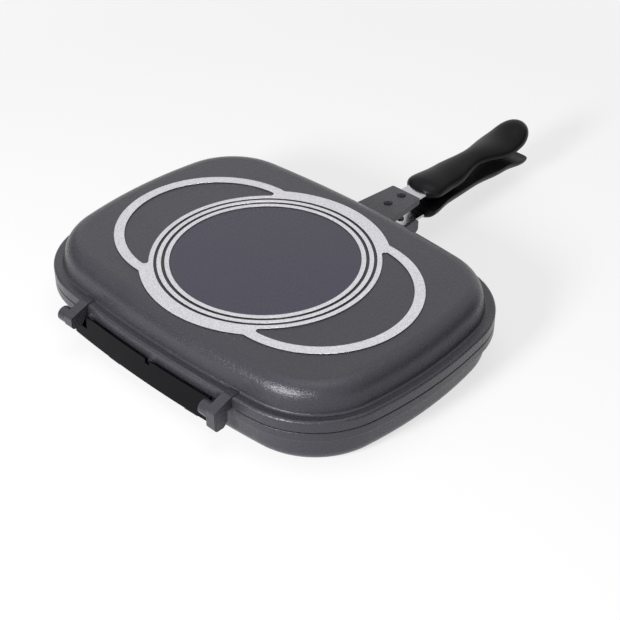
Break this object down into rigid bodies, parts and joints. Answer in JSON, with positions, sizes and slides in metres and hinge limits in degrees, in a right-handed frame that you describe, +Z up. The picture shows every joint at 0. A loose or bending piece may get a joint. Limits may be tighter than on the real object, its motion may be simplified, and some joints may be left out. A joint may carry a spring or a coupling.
{
  "type": "double sided flip pan",
  "caption": "Double sided flip pan: hinged cast halves with machined ribs, long grips on steel tangs and a drip tray at the hinge.",
  "frame": {"origin": "under the middle of the whole object's box, on the plane that the lower half rests on", "axes": "+X along the hinge side, +Y from the hinge to the grips, +Z up from the lower to the upper half"},
  "size_m": [0.36, 0.4866, 0.07],
  "materials": {
    "coated_cast_aluminium": "matte dark grey non-stick coating, with bare machined ribs",
    "silicone": "matte silicone",
    "pin_steel": "turned steel",
    "tang_steel": "bright rolled steel",
    "coated_rivet": "dimpled rivet under the same dark grey coating",
    "screw_steel": "bright plated steel",
    "tray_plastic": "satin black moulded plastic",
    "grip_plastic": "satin black phenolic moulding",
    "magnet": "sintered magnet"
  },
  "bodies": {
    "base": {"lower_pan": "coated_cast_aluminium", "hinge_pin_left": "pin_steel", "hinge_pin_right": "pin_steel", "lower_tang": "tang_steel", "lower_tang_rivets": "coated_rivet", "lower_grip": "grip_plastic", "lower_grip_screw": "screw_steel", "lower_magnet": "magnet", "lower_magnet_cup": "pin_steel"},
    "lid": {"upper_pan": "coated_cast_aluminium", "seal_ring": "silicone", "upper_tang": "tang_steel", "upper_tang_rivets": "coated_rivet", "upper_grip": "grip_plastic", "upper_grip_screw": "screw_steel", "upper_magnet": "magnet", "upper_magnet_cup": "pin_steel"},
    "tray": {"drip_tray": "tray_plastic"}
  },
  "joints": [
    {"name": "lid_hinge", "type": "hinge", "parent": "base", "child": "lid", "pos_m": [0, -0.2363, 0.035], "axis": [1, 0, 0], "range_deg": [0, 180]},
    {"name": "tray_slide", "type": "slide", "parent": "base", "child": "tray", "axis": [0, -1, 0], "range_m": [0, 0.01]}
  ]
}
